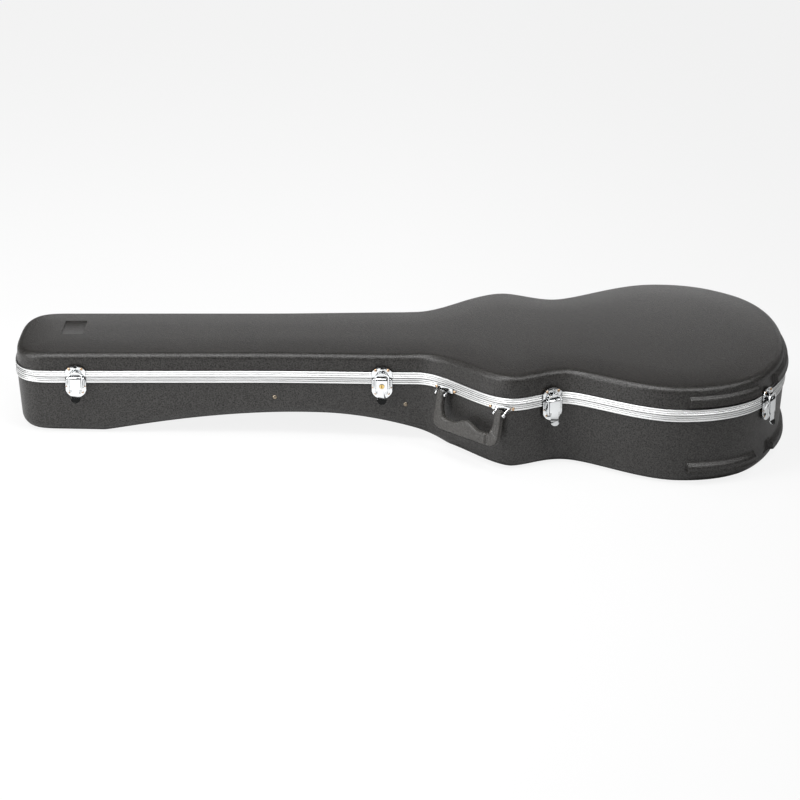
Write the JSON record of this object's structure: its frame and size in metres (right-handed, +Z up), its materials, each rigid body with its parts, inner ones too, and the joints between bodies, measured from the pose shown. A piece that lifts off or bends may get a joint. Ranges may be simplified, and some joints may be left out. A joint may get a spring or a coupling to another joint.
{
  "type": "guitar case",
  "caption": "Hard moulded guitar case with a hinged lid, aluminium edge rails, draw latches, a carry handle and a padded shaped interior with an accessory compartment.",
  "frame": {"origin": "on the flat underside, below the middle line of the body", "axes": "+X along the case from the head end to the body end, -Y towards the handle and latch side, +Z up out of the lid"},
  "size_m": [1.1134, 0.4686, 0.1458],
  "materials": {
    "shell": "matt textured moulded plastic",
    "rail": "satin anodised, fine lengthwise ribs",
    "chrome": "bright",
    "rivet_brass": "dull",
    "lock_brass": "polished",
    "grip": "matt soft moulded plastic",
    "plush": "short pile",
    "board": "cloth covered board",
    "strap": "woven ribbon",
    "steel": "plain",
    "tab": "smooth"
  },
  "bodies": {
    "base": {"base_shell": "shell", "base_rail": "rail", "base_liner": "plush", "bulkhead_head": "board", "bulkhead_body": "board", "neck_rest_pads": "plush", "head_pad": "plush", "body_floor_pad": "plush", "compartment_wall": "board", "compartment_hinge_pin": "steel", "bulkhead_rivets": "rivet_brass", "hinge_leaves_base": "chrome", "hinge_pins": "steel", "hinge_rivets_base": "chrome", "latch_plate_1": "chrome", "latch_plate_2": "chrome", "latch_plate_3": "chrome", "latch_plate_4": "chrome", "latch_pins": "steel", "latch_rivets_base": "rivet_brass", "handle_bracket_left": "chrome", "handle_bracket_right": "chrome", "handle_pins": "steel", "handle_rivets": "chrome", "lid_stay_strap": "strap", "lid_stay_anchor_base": "chrome"},
    "lid": {"lid_shell": "shell", "lid_rail": "rail", "lid_liner": "plush", "hinge_leaves_lid": "chrome", "hinge_rivets_lid": "chrome", "latch_keeper_1": "chrome", "latch_keeper_2": "chrome", "latch_keeper_3": "chrome", "latch_keeper_4": "chrome", "latch_rivets_lid": "rivet_brass", "lid_stay_anchor_lid": "chrome"},
    "lever_1": {"latch_lever_1": "chrome"},
    "bail_1": {"latch_bail_1": "chrome"},
    "lever_2": {"latch_lever_2": "chrome"},
    "bail_2": {"latch_bail_2": "chrome"},
    "lever_3": {"latch_lever_3": "chrome"},
    "bail_3": {"latch_bail_3": "chrome"},
    "lever_4": {"latch_lever_4": "chrome"},
    "bail_4": {"latch_bail_4": "chrome"},
    "lock": {"lock_cylinder": "lock_brass"},
    "handle": {"handle_grip": "grip", "handle_core": "steel"},
    "compartment_lid": {"compartment_lid": "board", "compartment_pull_tab": "tab"}
  },
  "joints": [
    {"name": "lid_hinge", "type": "hinge", "parent": "base", "child": "lid", "pos_m": [-0.30193, 0.1855, 0.09618], "axis": [-0.9914, -0.1294, -0.0193], "range_deg": [0, 100]},
    {"name": "latch_lever_1_pivot", "type": "hinge", "parent": "base", "child": "lever_1", "pos_m": [-0.76383, -0.08245, 0.08617], "axis": [-0.9998, 0, -0.0195], "range_deg": [0, 115]},
    {"name": "latch_bail_1_pivot", "type": "hinge", "parent": "lever_1", "child": "bail_1", "pos_m": [-0.76348, -0.084, 0.06868], "axis": [-0.9998, 0, -0.0195], "range_deg": [-132.25, 0]},
    {"name": "latch_lever_2_pivot", "type": "hinge", "parent": "base", "child": "lever_2", "pos_m": [-0.32765, -0.08751, 0.09468], "axis": [-0.9995, 0.0255, -0.0195], "range_deg": [0, 115]},
    {"name": "latch_bail_2_pivot", "type": "hinge", "parent": "lever_2", "child": "bail_2", "pos_m": [-0.32735, -0.08906, 0.07718], "axis": [-0.9995, 0.0255, -0.0195], "range_deg": [-132.25, 0]},
    {"name": "latch_lever_3_pivot", "type": "hinge", "parent": "base", "child": "lever_3", "pos_m": [-0.08763, -0.16889, 0.09936], "axis": [-0.9275, -0.3734, -0.0181], "range_deg": [0, 115]},
    {"name": "latch_bail_3_pivot", "type": "hinge", "parent": "lever_3", "child": "bail_3", "pos_m": [-0.08671, -0.17033, 0.08188], "axis": [-0.9275, -0.3734, -0.0181], "range_deg": [-132.25, 0]},
    {"name": "latch_lever_4_pivot", "type": "hinge", "parent": "base", "child": "lever_4", "pos_m": [0.21432, -0.16484, 0.10525], "axis": [-0.546, -0.8377, -0.0106], "range_deg": [0, 115]},
    {"name": "latch_bail_4_pivot", "type": "hinge", "parent": "lever_4", "child": "bail_4", "pos_m": [0.21596, -0.16568, 0.08778], "axis": [-0.546, -0.8377, -0.0106], "range_deg": [-132.25, 0]},
    {"name": "lock_turn", "type": "hinge", "parent": "lever_2", "child": "lock", "pos_m": [-0.32759, -0.09101, 0.08668], "axis": [-0.0255, -0.9997, -0.0005], "range_deg": [0, 90]},
    {"name": "handle_swing", "type": "hinge", "parent": "base", "child": "handle", "pos_m": [-0.20398, -0.1499, 0.08609], "axis": [-0.7124, 0.7016, -0.0139], "range_deg": [0, 105]},
    {"name": "compartment_lid_hinge", "type": "hinge", "parent": "base", "child": "compartment_lid", "pos_m": [-0.38648, -0.054, 0.07203], "axis": [0.9998, 0, 0.0195], "range_deg": [0, 90]}
  ],
  "couplings": [
    {"joint": "latch_bail_1_pivot", "follows": "latch_lever_1_pivot", "ratio": -1.15},
    {"joint": "latch_bail_2_pivot", "follows": "latch_lever_2_pivot", "ratio": -1.15},
    {"joint": "latch_bail_3_pivot", "follows": "latch_lever_3_pivot", "ratio": -1.15},
    {"joint": "latch_bail_4_pivot", "follows": "latch_lever_4_pivot", "ratio": -1.15}
  ]
}
